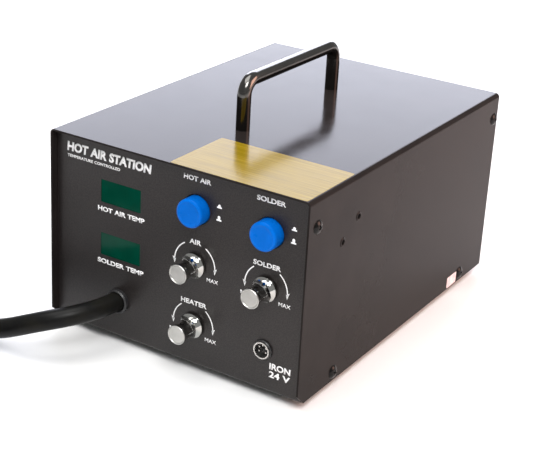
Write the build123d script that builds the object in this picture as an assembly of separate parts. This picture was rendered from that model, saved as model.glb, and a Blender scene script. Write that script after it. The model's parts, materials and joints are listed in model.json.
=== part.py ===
"""Hot air station with a soldering iron channel, a sheet-metal bench unit with its hot air handpiece.

Frame: millimetres, +Z up, the front panel faces -Y. The origin is on the bench, under the case's centre.
Each function returns one named piece in its place, and write_parts() saves one STEP per piece.
"""

import math
import os

from build123d import *

# Case
WIDTH = 187.0
DEPTH = 255.0
CASE_HEIGHT = 130.0
FOOT_HEIGHT = 5.0
SHEET = 1.2
FOLD_RADIUS = 3.0
PANEL_RECESS = 5.0
REAR_RECESS = 1.0
FIT_GAP = 0.3
CORNER_CUT = 7.0

HALF = WIDTH / 2
FRONT_EDGE = -DEPTH / 2
REAR_EDGE = DEPTH / 2
CASE_BOTTOM = FOOT_HEIGHT
CASE_TOP = FOOT_HEIGHT + CASE_HEIGHT
PANEL = FRONT_EDGE + PANEL_RECESS
REAR = REAR_EDGE - REAR_RECESS
INSIDE = HALF - SHEET - FIT_GAP
PANEL_TOP = CASE_TOP - SHEET - FIT_GAP
FLOOR_UNDER = CASE_BOTTOM + SHEET
FLOOR = FLOOR_UNDER + SHEET

# Carrying handle, a bent round bar on the middle of the top
HANDLE_X = -2.0
HANDLE_RADIUS = 4.5
HANDLE_FRONT = -51.5
HANDLE_BACK = 58.5
HANDLE_RISE = 31.3
HANDLE_BEND = 9.5

# Cover screws on each side wall, and the holder's two tapped holes on the right wall, as (Y, Z)
COVER_SCREWS = [(-117.8, 117.3), (-86.8, 11.0), (91.5, 11.0), (121.5, 117.7)]
HOLDER_HOLES = [(-69.7, 108.0), (-87.1, 97.3)]
HOLDER_HOLE_RADIUS = 1.75
HOLDER_HOLE_DEPTH = 3.6

# Feet
FOOT_X = 78.0
FOOT_Y = 106.0

# Front panel: places are (X, Z)
WINDOW_SIZE = (30.5, 15.0)
WINDOWS = {"hot_air": (-42.2, 101.6), "iron": (-42.2, 66.2)}
BUTTONS = {"hot_air": (14.0, 107.8), "iron": (65.1, 107.4)}
KNOBS = {"air": (14.0, 72.2), "heater": (14.3, 32.1), "iron": (64.6, 72.0)}
SOCKET = (65.0, 32.2)
HOSE_EXIT = (-43.0, 30.5)

BUTTON_RADIUS = 9.0
BUTTON_STAND = 8.5
BUTTON_HOLE = 9.75
SHAFT_RADIUS = 3.0
RUNNING = 0.05

# Rear panel: the mains inlet's centre as (X, Z)
INLET = (-50.0, 46.0)

# Transformer's centre as (X, Y)
TRANSFORMER = (42.0, 62.0)

# Main board, on four spacers
BOARD_X = (-18.0, 84.0)
BOARD_Y = (-92.0, 18.0)
BOARD_Z = 17.4
BOARD_THICK = 1.6

# Display board, behind the windows
DISPLAY_BOARD_Z = (52.0, 116.0)
DISPLAY_BOARD_X = (-66.0, -18.4)
DISPLAY_BOARD_Y = PANEL + 10.2

# Pump
PUMP_PIVOT = (-50.0, 28.0)
PUMP_AXIS_Z = 36.0
PUMP_SPIGOT_X = -72.0
PUMP_TRAY_TOP = 19.0

# Hose, with its free stretches as lists of route points
HOSE_DIAMETER = 12.5
HOSE_ARC_SHARE = 0.45
COIL_CENTRE = (-159.0, -245.0)
COIL_TURN_RADIUS = 62.5
COIL_TOP_Z = 17.2
COIL_SLACK = 0.2
HANDPIECE_AXIS = (COIL_CENTRE[1] - COIL_TURN_RADIUS, 17.0)
HANDPIECE_START = COIL_CENTRE[0] + 66.0
HOSE_ROUTE = [
    (HOSE_EXIT[0], -112.0, HOSE_EXIT[1]),
    (HOSE_EXIT[0], -132.0, HOSE_EXIT[1]),
    (-50.8, -153.8, 30.4),
    (-68.3, -169.0, 26.2),
    (-96.5, -175.3, 14.0),
    (-128.0, -176.2, 6.5),
    (COIL_CENTRE[0], COIL_CENTRE[1] + COIL_TURN_RADIUS + HOSE_DIAMETER / 2, 6.3),
]
TAIL_ROUTE = [
    (COIL_CENTRE[0], HANDPIECE_AXIS[0], COIL_TOP_Z),
    (COIL_CENTRE[0] + 22.0, HANDPIECE_AXIS[0], 19.2),
    (COIL_CENTRE[0] + 45.0, HANDPIECE_AXIS[0], 19.5),
    (HANDPIECE_START - 6.0, HANDPIECE_AXIS[0], HANDPIECE_AXIS[1]),
    (HANDPIECE_START + 18.0, HANDPIECE_AXIS[0], HANDPIECE_AXIS[1] + 0.02),
]

# Handpiece, with distances along its axis from the boot's rear end
BARREL_RADIUS = 11.5
BARREL_WALL = 0.7
BARREL_SPAN = (108.0, 172.0)
NOZZLE_START = 160.0
NOZZLE_SHOULDER = 176.0
NOZZLE_TIP = 184.0
NOZZLE_END = 190.0
NOZZLE_OUTLET = 4.0
CLAMP_AT = 168.0
CLAMP_RISE = 16.6
GRIP_SCREWS = (46.0, 88.0)
GRIP_SCREW_DROP = 7.0
GRIP_SCREW_SEAT = 9.6

# The grip's outside and its hollow as (distance, radius)
GRIP_OUTSIDE = [
    (20.0, 15.4),
    (21.6, 17.0),
    (27.0, 17.0),
    (33.0, 13.6),
    (48.0, 14.2),
    (62.0, 14.7),
    (80.0, 14.2),
    (96.0, 13.8),
    (106.0, 14.8),
    (114.0, 17.0),
    (117.0, 17.0),
    (121.0, 15.2),
    (126.0, 14.2),
]
GRIP_INSIDE = [
    (126.0, BARREL_RADIUS + 0.1),
    (112.0, BARREL_RADIUS + 0.1),
    (112.0, 13.3),
    (106.0, 13.3),
    (102.0, 11.4),
    (25.0, 11.4),
    (25.0, 12.9),
    (22.6, 12.9),
    (22.6, 9.0),
    (20.0, 9.0),
]


def slab(x, y, z):
    """A block between a low and a high value on each axis."""
    size = [high - low for low, high in (x, y, z)]
    centre = [(low + high) / 2 for low, high in (x, y, z)]
    return Pos(*centre) * Box(*size)


def around(centre, half):
    """A low and high value, half to each side of the centre."""
    return (centre - half, centre + half)


def bar(axis, at, span, radius):
    """A round bar along axis over span, with at its place on the other two axes in order."""
    middle = (span[0] + span[1]) / 2
    length = span[1] - span[0]
    if axis == "X":
        return Pos(middle, *at) * Rot(0, 90, 0) * Cylinder(radius, length)
    if axis == "Y":
        return Pos(at[0], middle, at[1]) * Rot(90, 0, 0) * Cylinder(radius, length)
    return Pos(*at, middle) * Cylinder(radius, length)


def turned(outline, angle=360):
    """A turned solid about Z from a closed outline of (radius, height) points."""
    face = make_face(Plane.XZ * Polyline(*outline, close=True))
    return revolve(face, Axis.Z, angle)


def hexagon(width, thickness, hole):
    """A nut on the XY plane, rising along Z, with its width across flats."""
    nut = extrude(RegularPolygon(width / 2, 6, major_radius=False), thickness)
    return nut - Pos(0, 0, thickness / 2) * Cylinder(hole, thickness + 1)


def on_front(place):
    """A place on the front panel, with local Z pointing out of it."""
    return Location((place[0], PANEL, place[1]), (90, 0, 0))


def on_side(side, place):
    """A place on the right (1) or left (-1) wall, with local Z pointing outwards."""
    return Location((side * HALF, place[0], place[1]), (0, 90 * side, 0))


def in_handpiece(shape):
    """A shape made about Z from the boot's rear end, laid along the handpiece's axis."""
    return Location((HANDPIECE_START, *HANDPIECE_AXIS), (0, 90, 0)) * shape


def pan_screw(head_radius, head_height, shank_radius, shank_length):
    """A domed screw whose head sits on the XY plane, with a cross recess."""
    dome = head_height * 0.55
    head = turned(
        [
            (0, 0),
            (head_radius, 0),
            (head_radius, head_height - dome),
            (head_radius * 0.72, head_height),
            (0, head_height),
        ]
    )
    slot = Box(head_radius * 0.9, head_radius * 0.18, head_height)
    recess = Pos(0, 0, head_height) * (slot + Rot(0, 0, 90) * slot)
    return head - recess + Pos(0, 0, -shank_length / 2) * Cylinder(shank_radius, shank_length)


def swept(points, radius, radii=None):
    """A round solid along straight runs joined by arcs."""
    path = FilletPolyline(*points, radius=radii or bend_radii(points))
    return sweep(Plane(origin=path @ 0, z_dir=path % 0) * Circle(radius), path)


def bend_radii(points):
    """Each corner's arc, as large as its two runs allow."""
    runs = [Vector(*b) - Vector(*a) for a, b in zip(points, points[1:])]
    radii = []
    for before, after in zip(runs, runs[1:]):
        turn = math.radians(before.get_angle(after))
        shorter = min(before.length, after.length)
        radii.append(HOSE_ARC_SHARE * shorter / math.tan(turn / 2))
    return radii


# Case --------------------------------------------------------------------------------------------


def top_cover():
    """The folded cover: top and two side walls, open in front, behind and below."""
    outer = slab((-HALF, HALF), (FRONT_EDGE, REAR_EDGE), (CASE_BOTTOM, CASE_TOP))
    outer = fillet(outer.edges().filter_by(Axis.Y).group_by(Axis.Z)[-1], FOLD_RADIUS)
    wall = HALF - SHEET
    inner = slab((-wall, wall), (FRONT_EDGE - 1, REAR_EDGE + 1), (CASE_BOTTOM - 1, CASE_TOP - SHEET))
    inner = fillet(inner.edges().filter_by(Axis.Y).group_by(Axis.Z)[-1], FOLD_RADIUS - SHEET)
    cover = outer - inner
    cut = CORNER_CUT * math.sqrt(2)
    cover -= Pos(0, FRONT_EDGE, CASE_BOTTOM) * Rot(45, 0, 0) * Box(WIDTH + 2, cut, cut)
    for y, z in HOLDER_HOLES:
        cover += bar("X", (y, z), (HALF - HOLDER_HOLE_DEPTH, HALF - SHEET), 3.2)
        cover -= bar("X", (y, z), (HALF - 6, HALF + 1), HOLDER_HOLE_RADIUS)
    for place in COVER_SCREWS:
        cover -= bar("X", place, (-HALF - 1, HALF + 1), 1.9)
    for y in (HANDLE_FRONT, HANDLE_BACK):
        cover -= bar("Z", (HANDLE_X, y), (CASE_TOP - 4, CASE_TOP + 1), 2.2)
    return cover


def end_panel(outer_face, inward):
    """A front or rear panel blank with a foot flange and two side flanges, folded inwards."""
    inner_face = outer_face + inward * SHEET
    face = sorted((outer_face, inner_face))
    flange = sorted((inner_face, inner_face + inward * 13))
    lip = sorted((inner_face, inner_face + inward * 7))
    blank = slab((-INSIDE, INSIDE), face, (CASE_BOTTOM, PANEL_TOP))
    blank += slab((-INSIDE, INSIDE), lip, (CASE_BOTTOM, FLOOR_UNDER))
    for side in (-1, 1):
        wall = sorted((side * INSIDE, side * (INSIDE - SHEET)))
        blank += slab(wall, flange, (20, PANEL_TOP - 4))
    blank = fillet(blank.edges().filter_by(Axis.Y).group_by(Axis.Z)[-1], FOLD_RADIUS)
    along = blank.edges().filter_by(Axis.X)
    blank = fillet(along.sort_by_distance((0, outer_face, CASE_BOTTOM))[0], 2 * SHEET)
    for side in (-1, 1):
        for y, z in COVER_SCREWS:
            blank -= bar("X", (y, z), sorted((side * (INSIDE - 3), side * (INSIDE + 1))), 1.7)
    return blank


def front_panel():
    panel = end_panel(PANEL, 1)
    through = (PANEL - 1, PANEL + SHEET + 1)
    width, height = WINDOW_SIZE
    for x, z in WINDOWS.values():
        panel -= slab(around(x, width / 2), through, around(z, height / 2))
    for place in BUTTONS.values():
        panel -= bar("Y", place, through, BUTTON_HOLE)
    for place in KNOBS.values():
        panel -= bar("Y", place, through, 3.6)
    panel -= bar("Y", SOCKET, through, 5.5)
    panel -= bar("Y", HOSE_EXIT, through, 7.45)
    return panel


def rear_panel():
    """The rear panel, with the inlet's cut-out and two banks of cooling slots."""
    panel = end_panel(REAR, -1)
    through = (REAR - SHEET - 1, REAR + 1)
    x, z = INLET
    panel -= slab(around(x, 14.0), through, around(z, 17.0))
    for side in (-1, 1):
        panel -= bar("Y", (x + side * 20, z), through, 1.7)
    for column in (24.0, 62.0):
        for row in range(9):
            panel -= slab(around(column, 15), through, around(40 + 8 * row, 1.6))
    return panel


def base_pan():
    """The floor tray, with low side flanges for the cover's lower screws."""
    length = (PANEL + SHEET + 0.2, REAR - SHEET - 0.2)
    pan = slab((-INSIDE, INSIDE), length, (FLOOR_UNDER, FLOOR))
    for side in (-1, 1):
        wall = sorted((side * INSIDE, side * (INSIDE - SHEET)))
        pan += slab(wall, (length[0] + 4, length[1] - 4), (FLOOR_UNDER, 18.6))
        for place in COVER_SCREWS[1:3]:
            pan -= bar("X", place, sorted((side * (INSIDE - 3), side * (INSIDE + 1))), 1.7)
    for x, y in foot_places():
        pan -= bar("Z", (x, y), (0, 12), 1.75)
    for x, y in bracket_screw_places():
        pan -= bar("Z", (x, y), (0, 12), 1.6)
    for row in range(8):
        pan -= slab(around(-8.0, 1.6), around(-40 + 12 * row, 4), (0, 12))
        pan -= slab(around(-57.0, 12), around(52 + 7 * row, 1.6), (0, 12))
    return pan


def foot_places():
    return [(x, y) for x in (-FOOT_X, FOOT_X) for y in (-FOOT_Y, FOOT_Y)]


def rubber_feet():
    foot = turned(
        [(1.75, 2.5), (3.7, 2.5), (3.7, 0), (5.6, 0), (6.0, 0.5), (6.6, FLOOR_UNDER), (1.75, FLOOR_UNDER)]
    )
    return [Pos(x, y, 0) * foot for x, y in foot_places()]


def feet_screws():
    """Screws up through the feet, each with its nut on the floor tray."""
    pieces = []
    for x, y in foot_places():
        screw = Pos(x, y, 2.5) * Rot(180, 0, 0) * pan_screw(3.2, 1.7, 1.55, 8.5)
        nut = Pos(x, y, FLOOR) * hexagon(5.5, 2.4, 1.6)
        pieces += [screw, nut]
    return pieces


def carry_handle():
    top = CASE_TOP + HANDLE_RISE
    points = [
        (HANDLE_X, HANDLE_FRONT, CASE_TOP),
        (HANDLE_X, HANDLE_FRONT, top),
        (HANDLE_X, HANDLE_BACK, top),
        (HANDLE_X, HANDLE_BACK, CASE_TOP),
    ]
    handle = swept(points, HANDLE_RADIUS, [HANDLE_BEND] * 2)
    for y in (HANDLE_FRONT, HANDLE_BACK):
        handle -= bar("Z", (HANDLE_X, y), (CASE_TOP - 1, CASE_TOP + 13), 2.05)
    return handle


def handle_screws():
    """Two screws from inside the cover up into the handle's legs."""
    screw = Rot(180, 0, 0) * pan_screw(4.2, 2.8, 2.0, 11)
    return [Pos(HANDLE_X, y, CASE_TOP - SHEET) * screw for y in (HANDLE_FRONT, HANDLE_BACK)]


def cover_screws():
    screw = pan_screw(4.5, 2.0, 1.6, 6)
    return [on_side(side, place) * screw for side in (1, -1) for place in COVER_SCREWS]


# Front panel fittings ----------------------------------------------------------------------------


def display_windows():
    """A tinted pane in each window, with a flange behind the panel."""
    width, height = WINDOW_SIZE
    panes = []
    for x, z in WINDOWS.values():
        pane = slab(around(x, width / 2 - 0.1), (PANEL + 0.2, PANEL + 2.2), around(z, height / 2 - 0.1))
        back = (PANEL + SHEET, PANEL + 2.2)
        panes.append(pane + slab(around(x, width / 2 + 2), back, around(z, height / 2 + 1.6)))
    return panes


def display_modules():
    """A three-digit module behind each window, with a shallow recess for each digit."""
    modules = []
    for x, z in WINDOWS.values():
        module = slab(around(x, 15), (PANEL + 2.6, DISPLAY_BOARD_Y), around(z, 7))
        for digit in (-1, 0, 1):
            module -= slab(around(x + 9.6 * digit, 4.2), (PANEL + 2, PANEL + 2.9), around(z, 6.2))
        modules.append(module)
    return modules


def display_spacer_places():
    """The display board's four spacers, as (X, Z)."""
    xs = (DISPLAY_BOARD_X[0] + 2.6, DISPLAY_BOARD_X[1] - 2.6)
    zs = (DISPLAY_BOARD_Z[0] + 3, DISPLAY_BOARD_Z[1] - 3)
    return [(x, z) for x in xs for z in zs]


def display_board():
    board = slab(DISPLAY_BOARD_X, (DISPLAY_BOARD_Y, DISPLAY_BOARD_Y + BOARD_THICK), DISPLAY_BOARD_Z)
    for place in display_spacer_places():
        board -= bar("Y", place, (DISPLAY_BOARD_Y - 1, DISPLAY_BOARD_Y + 3), 1.0)
    return board


def board_standoffs():
    """Four hexagonal spacers under the main board and four round ones behind the front panel."""
    pieces = []
    for x, y in main_board_corners():
        pieces.append(Pos(x, y, FLOOR) * hexagon(5.5, BOARD_Z - FLOOR, 1.3))
    for x, z in display_spacer_places():
        spacer = bar("Y", (x, z), (PANEL + SHEET, DISPLAY_BOARD_Y), 2.4)
        pieces.append(spacer - bar("Y", (x, z), (PANEL, DISPLAY_BOARD_Y + 1), 1.0))
    return pieces


def push_button(place):
    """A round cap with a crowned rim, on the stem that works its switch."""
    rim = 1.4
    cap = turned(
        [
            (0, BUTTON_STAND - 0.35),
            (6.2, BUTTON_STAND - 0.25),
            (BUTTON_RADIUS - rim, BUTTON_STAND),
            (BUTTON_RADIUS - 0.4, BUTTON_STAND - 0.5),
            (BUTTON_RADIUS, BUTTON_STAND - rim),
            (BUTTON_RADIUS, -4),
            (2.8, -4),
            (2.8, -13),
            (0, -13),
        ]
    )
    return on_front(place) * cap


def push_switch(place):
    """A latching mains switch behind a button: guide collar, bored body and four tags."""
    collar_back = 9.5
    bored = 18.0
    body_back = 31.0
    switch = turned(
        [
            (9.45, -SHEET),
            (11.2, -SHEET),
            (11.2, -collar_back),
            (2.85, -collar_back),
            (2.85, -collar_back + 1.2),
            (9.45, -collar_back + 1.2),
        ]
    )
    block = Box(21, 21, body_back - collar_back)
    block -= Pos(0, 0, (body_back - collar_back) / 2) * Cylinder(2.85, 2 * (bored - collar_back))
    switch += Pos(0, 0, -(collar_back + body_back) / 2) * block
    for x in (-6, 6):
        for y in (-5, 5):
            switch += Pos(x, y, -body_back - 2) * Box(0.8, 4, 5)
    return on_front(place) * switch


def potentiometer(place):
    """A rotary potentiometer: can, threaded bush through the panel and three tags."""
    can = turned(
        [
            (3.05, 4.5),
            (3.4, 4.5),
            (3.4, -SHEET),
            (6.0, -SHEET),
            (6.0, -3.2),
            (8.4, -3.2),
            (8.4, -11),
            (0, -11),
            (0, -9),
            (3.05, -9),
        ]
    )
    for x in (-5, 0, 5):
        can += Pos(x, -9.5, -5) * Box(1.2, 8, 0.8)
    return on_front(place) * can


def panel_nuts():
    """The nuts that hold the potentiometers, the iron socket and the hose bushing."""
    nuts = [on_front(place) * hexagon(10, 1.7, 3.45) for place in KNOBS.values()]
    socket_nut = on_front(SOCKET) * Pos(0, 0, -SHEET - 2) * hexagon(14, 2, 5.45)
    bushing_nut = on_front(HOSE_EXIT) * Pos(0, 0, -SHEET - 3) * hexagon(19, 3, 7.35)
    return nuts + [socket_nut, bushing_nut]


def knob_shaft(place):
    """The potentiometer's turning shaft, with the flat that the knob's screw bears on."""
    shaft = Pos(0, 0, 3.5) * Cylinder(SHAFT_RADIUS, 24)
    shaft -= Pos(0, 3.0, 11.4) * Box(8, 1.2, 8.2)
    return on_front(place) * shaft


def knob(place):
    """A chromed knob: wide skirt by the panel, slim waist, then a flaring grip with a dished face.

    The hole on its top side is for the grub screw that bears on the shaft's flat.
    """
    skirt, waist, grip, length = 8.0, 5.1, 6.15, 17.5
    outline = Polyline((0, length - 0.35), (5.2, length - 0.35), (5.5, length), (5.9, length))
    outline += Polyline((5.9, length), (grip, length - 0.3), (grip, 15.4))
    outline += ThreePointArc((grip, 15.4), (waist + 0.25, 12.2), (waist, 9.0))
    outline += ThreePointArc((waist, 9.0), (5.75, 5.0), (7.7, 2.5))
    outline += Polyline((7.7, 2.5), (skirt, 2.2), (skirt, 0.8), (6.2, 0.8), (6.2, 2.3))
    outline += Polyline((6.2, 2.3), (3.9, 2.3), (3.9, 5.0), (SHAFT_RADIUS, 5.0), (SHAFT_RADIUS, 15.6))
    outline += Polyline((SHAFT_RADIUS, 15.6), (0, 15.6), (0, length - 0.35))
    body = revolve(make_face(Plane.XZ * outline), Axis.Z, 360)
    screw_hole = bar("Y", (0, 11.4), (2, grip + 1), 1.4)
    return on_front(place) * (body - screw_hole)


def iron_socket_shell():
    """The nickel sleeve of the five-pole socket, through the panel."""
    shell = turned([(4.6, 2.2), (5.4, 2.2), (5.4, -12), (4.6, -12)])
    return on_front(SOCKET) * shell


def iron_socket_collar():
    collar = turned([(5.45, 0), (6.4, 0), (6.4, 1.0), (6.0, 1.5), (5.45, 1.5)])
    return on_front(SOCKET) * collar


def contact_places():
    """The five contacts on their circle, with the key's gap at the bottom."""
    angles = [math.radians(90 + 60 * k) for k in (-2, -1, 0, 1, 2)]
    return [(2.7 * math.cos(a), 2.7 * math.sin(a)) for a in angles]


def iron_socket_insert():
    insert = Pos(0, 0, -7.5) * Cylinder(4.55, 8)
    for x, y in contact_places():
        insert -= Pos(x, y, -7.5) * Cylinder(0.55, 10)
    return on_front(SOCKET) * insert


def iron_socket_contacts():
    return [on_front(SOCKET) * Pos(x, y, -7) * Cylinder(0.5, 15) for x, y in contact_places()]


def hose_bushing():
    """The flanged bushing that the hose passes through, threaded for its nut."""
    bore = HOSE_DIAMETER / 2 + 0.1
    bushing = turned(
        [
            (bore, 2.6),
            (bore + 0.5, 3.1),
            (7.3, 3.1),
            (8.0, 2.3),
            (8.0, 0),
            (7.3, 0),
            (7.3, -8),
            (bore, -8),
        ]
    )
    return on_front(HOSE_EXIT) * bushing


def hose_union():
    """The plug in the hose's inner end, with a spigot for the pump's tube."""
    hose_end = HOSE_ROUTE[0][1]
    union = bar("Y", HOSE_EXIT, (hose_end, hose_end + 4), 5.9)
    union += bar("Y", HOSE_EXIT, (hose_end + 3, hose_end + 14), 3.0)
    return union - bar("Y", HOSE_EXIT, (hose_end - 1, hose_end + 15), 1.8)


# Hose --------------------------------------------------------------------------------------------


def air_hose():
    """The free stretches: from the bushing to the coil, and from the coil to the handpiece."""
    pieces = []
    for route in (HOSE_ROUTE, TAIL_ROUTE):
        pieces.append(swept(route, HOSE_DIAMETER / 2))
        print("hose arcs", [round(radius) for radius in bend_radii(route)])
    return pieces


def air_hose_coil():
    """The outer shape of two turns side by side on the bench, and a last part turn lying on them."""
    half_band = HOSE_DIAMETER + COIL_SLACK
    low = Pos(COIL_TURN_RADIUS, HOSE_DIAMETER / 2) * Rectangle(2 * half_band, HOSE_DIAMETER)
    low = fillet(low.vertices(), 5.5)
    ring = revolve(Plane.XZ * low, Axis.Z, 360)
    top = Pos(COIL_TURN_RADIUS, COIL_TOP_Z) * Rectangle(HOSE_DIAMETER, HOSE_DIAMETER)
    top = fillet(top.vertices(), 5.5)
    ring += revolve(Plane.XZ * top, Axis.Z, 270)
    return Pos(*COIL_CENTRE, 0) * ring


# Inside ------------------------------------------------------------------------------------------


def transformer_core():
    """The laminated core: a block with two windows beside its middle leg."""
    x, y = TRANSFORMER
    core = slab(around(x, 33), around(y, 20), (FLOOR, FLOOR + 55))
    for side in (-1, 1):
        core -= slab(around(x + side * 16.5, 5.5), around(y, 21), (FLOOR + 11, FLOOR + 44))
    return core


def transformer_winding():
    x, y = TRANSFORMER
    winding = slab(around(x, 21.6), around(y, 31), (FLOOR + 11.4, FLOOR + 43.6))
    winding = fillet(winding.edges().filter_by(Axis.Z), 7)
    return winding - slab(around(x, 11.3), around(y, 20.3), (FLOOR, FLOOR + 50))


def bracket_screw_places():
    x, y = TRANSFORMER
    return [(x - 41, y), (x + 41, y)]


def transformer_bracket():
    """The strap over the core, with a screwed foot on each side."""
    x, y = TRANSFORMER
    top = FLOOR + 55.1
    strap = slab(around(x, 34.3), around(y, 9), (FLOOR, top + SHEET))
    strap -= slab(around(x, 33.1), around(y, 10), (FLOOR - 1, top))
    for side, place in zip((-1, 1), bracket_screw_places()):
        foot = sorted((x + side * 33.1, x + side * 46))
        strap += slab(foot, around(y, 9), (FLOOR, FLOOR + SHEET))
        strap -= bar("Z", place, (FLOOR - 1, FLOOR + 3), 1.6)
    return strap


def m3_screws():
    """Short machine screws on the transformer's feet, the mains inlet and the handpiece."""
    screw = pan_screw(2.8, 1.9, 1.45, 7)
    pieces = [Pos(x, y, FLOOR + SHEET) * screw for x, y in bracket_screw_places()]
    x, z = INLET
    for side in (-1, 1):
        pieces.append(Location((x + side * 20, REAR + 3, z), (-90, 0, 0)) * screw)
    y, z = HANDPIECE_AXIS
    for distance in GRIP_SCREWS:
        seat = (HANDPIECE_START + distance, y - GRIP_SCREW_SEAT, z - GRIP_SCREW_DROP)
        pieces.append(Location(seat, (90, 0, 0)) * screw)
    return pieces


def main_board_corners():
    return [(x, y) for x in (BOARD_X[0] + 4, BOARD_X[1] - 4) for y in (BOARD_Y[0] + 4, BOARD_Y[1] - 4)]


def main_board():
    board = slab(BOARD_X, BOARD_Y, (BOARD_Z, BOARD_Z + BOARD_THICK))
    for place in main_board_corners():
        board -= bar("Z", place, (BOARD_Z - 1, BOARD_Z + 3), 1.3)
    return board


def board_components():
    """The board's tall parts: two smoothing capacitors, a relay, chips and three headers."""
    top = BOARD_Z + BOARD_THICK
    pieces = [bar("Z", (4, y), (top, top + 25), 8) for y in (-14, 4)]
    pieces.append(slab((40, 58), (-84, -70), (top, top + 16)))
    pieces.append(slab((2, 22), (-66, -58), (top, top + 4)))
    pieces.append(slab((34, 60), (-56, -48), (top, top + 4)))
    pieces += [slab(around(x, 6), (-90, -85), (top, top + 9)) for x in (0, 20)]
    pieces.append(slab((60, 78), (10, 16), (top, top + 11)))
    return pieces


def triac_heatsink():
    """A finned heatsink standing on the board, with the heater's triac clamped to its front."""
    top = BOARD_Z + BOARD_THICK
    sink = slab((40, 78), (-20, -17), (top, top + 34))
    for k in range(7):
        sink += slab(around(42 + 5.65 * k, 0.8), (-17.5, 0), (top, top + 34))
    return sink + slab((54, 64), (-24.4, -20), (top + 8, top + 24))


def pump_housing():
    """The pump's tray, with its valve box, the post for the armature's pin and the outlet spigot."""
    x = PUMP_PIVOT[0]
    housing = slab((-84, -28), (-60, 42), (PUMP_TRAY_TOP - 4, PUMP_TRAY_TOP))
    housing += slab((-84, -64), (-60, -18), (18, 54))
    housing += slab((-84, -79), (-19, 41), (18, 40))
    housing += slab((-84, x + 8), (38, 42), (18, 54))
    housing += bar("Z", PUMP_PIVOT, (18, 53), 2.0)
    housing += bar("Y", (PUMP_SPIGOT_X, PUMP_AXIS_Z), (-74, -59), 3.0)
    return housing - bar("Y", (PUMP_SPIGOT_X, PUMP_AXIS_Z), (-75, -52), 1.8)


def pump_diaphragm():
    """The rubber dome on the valve box."""
    dome = turned([(0, 0), (17, 0), (17, 1.6), (14, 2.2), (10, 5.0), (0, 5.0)])
    return Location((-64, -39, PUMP_AXIS_Z), (0, 90, 0)) * dome


def pump_armature():
    """The swinging lever: eye on the pin, magnet block at mid-length and a disc on the diaphragm."""
    y = PUMP_PIVOT[1]
    z = PUMP_AXIS_Z
    lever = slab((-53, -49), (-46, y - 3), around(z, 7))
    lever += bar("Z", PUMP_PIVOT, around(z, 9), 5)
    lever += slab((-53, -45.5), (-16, 2), around(z, 9))
    lever += bar("X", (-39, z), (-58.9, -52), 9)
    return lever - bar("Z", PUMP_PIVOT, around(z, 10), 2.0 + RUNNING)


def pump_electromagnet():
    """The E-shaped laminated magnet that shakes the armature, with its taped coil on the middle pole."""
    z = PUMP_AXIS_Z
    half_height = z - PUMP_TRAY_TOP
    middle_pole = slab((-44, -34), (-12.5, -1.5), around(z, 11))
    magnet = slab((-44, -30), (-26, 12), around(z, half_height))
    magnet -= slab((-45, -34), (-19.5, 5.5), around(z, half_height + 1))
    coil = slab((-42.5, -34), (-18.9, 4.9), around(z, 16))
    return [magnet + middle_pole, coil - middle_pole]


def pump_mounts():
    """Four soft rubber posts between the pump's tray and the floor."""
    post = turned([(0, FLOOR), (5, FLOOR), (5, 9.4), (3.6, 11.2), (5, 13), (5, 15), (0, 15)])
    return [Pos(x, y, 0) * post for x in (-77, -35) for y in (-52, 34)]


def inner_air_tube():
    """The soft tube from the pump's spigot to the hose union."""
    route = [
        (PUMP_SPIGOT_X, -61.5, PUMP_AXIS_Z),
        (PUMP_SPIGOT_X, -86, PUMP_AXIS_Z),
        (HOSE_EXIT[0], -82, HOSE_EXIT[1]),
        (HOSE_EXIT[0], -107.5, HOSE_EXIT[1]),
    ]
    return swept(route, 4.6) - swept(route, 3.1)


def wire_harness():
    """Cable bundles between the boards, the switch, the transformer and the inlet."""
    routes = [
        [(-50, 99, 60), (-50, 84, 80), (-20, 40, 88), (6, -40, 96), (8, -84, 104), (10, -91, 106)],
        [(38, 30.8, 40), (38, 22, 40), (30, 14, 54), (12, 6, 58), (5, 5, 47)],
        [(0, -87.5, 28.2), (0, -87, 46), (-22, -94, 62), (-30, -104, 70), (-33, -110.2, 70)],
        [(20, -87.5, 28.2), (20, -86, 42), (40, -92, 46), (60, -97, 36), (64, -106.6, 33)],
    ]
    return [swept(route, 1.8) for route in routes]


# Rear --------------------------------------------------------------------------------------------


def mains_inlet():
    """A three-pole appliance inlet with a fuse drawer's slot under its socket."""
    x, z = INLET
    inlet = slab(around(x, 13.7), (REAR - 26.5, REAR + 1), around(z, 16.6))
    inlet += slab(around(x, 24.8), (REAR, REAR + 3), around(z, 17.8))
    cavity = slab(around(x, 11.8), (REAR - 14.5, REAR + 4), (z - 2.2, z + 14.2))
    inlet -= chamfer(cavity.edges().filter_by(Axis.Y).group_by(Axis.Z)[0], 4.5)
    inlet -= slab(around(x, 12.6), (REAR - 20.5, REAR + 4), (z - 14.6, z - 6.6))
    for side in (-1, 1):
        inlet -= bar("Y", (x + side * 20, z), (REAR - 1, REAR + 4), 1.6)
    for px, pz in inlet_pin_places():
        inlet -= slab(around(px, 1.1), (REAR - 30, REAR - 10), around(pz, 2.1))
    return inlet


def inlet_pin_places():
    x, z = INLET
    return [(x - 7, z + 4), (x, z + 9), (x + 7, z + 4)]


def inlet_pins():
    return [slab(around(x, 1.0), (REAR - 33, REAR - 1), around(z, 2.0)) for x, z in inlet_pin_places()]


def fuse_drawer():
    """The drawer under the socket, with a cradle for one fuse and a lip to pull it by."""
    x, z = INLET
    low, high = z - 14.2, z - 7.0
    drawer = slab(around(x, 12.2), (REAR - 19, REAR + 3.2), (low, high))
    drawer -= slab(around(x, 10.3), (REAR - 17, REAR - 10.6), (low + 0.8, high + 1))
    drawer -= slab(around(x, 10.3), (REAR - 8.5, REAR + 1), (low + 1.6, high + 1))
    return drawer + slab(around(x, 5), (REAR + 3, REAR + 4.6), (low, low + 1.6))


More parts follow.
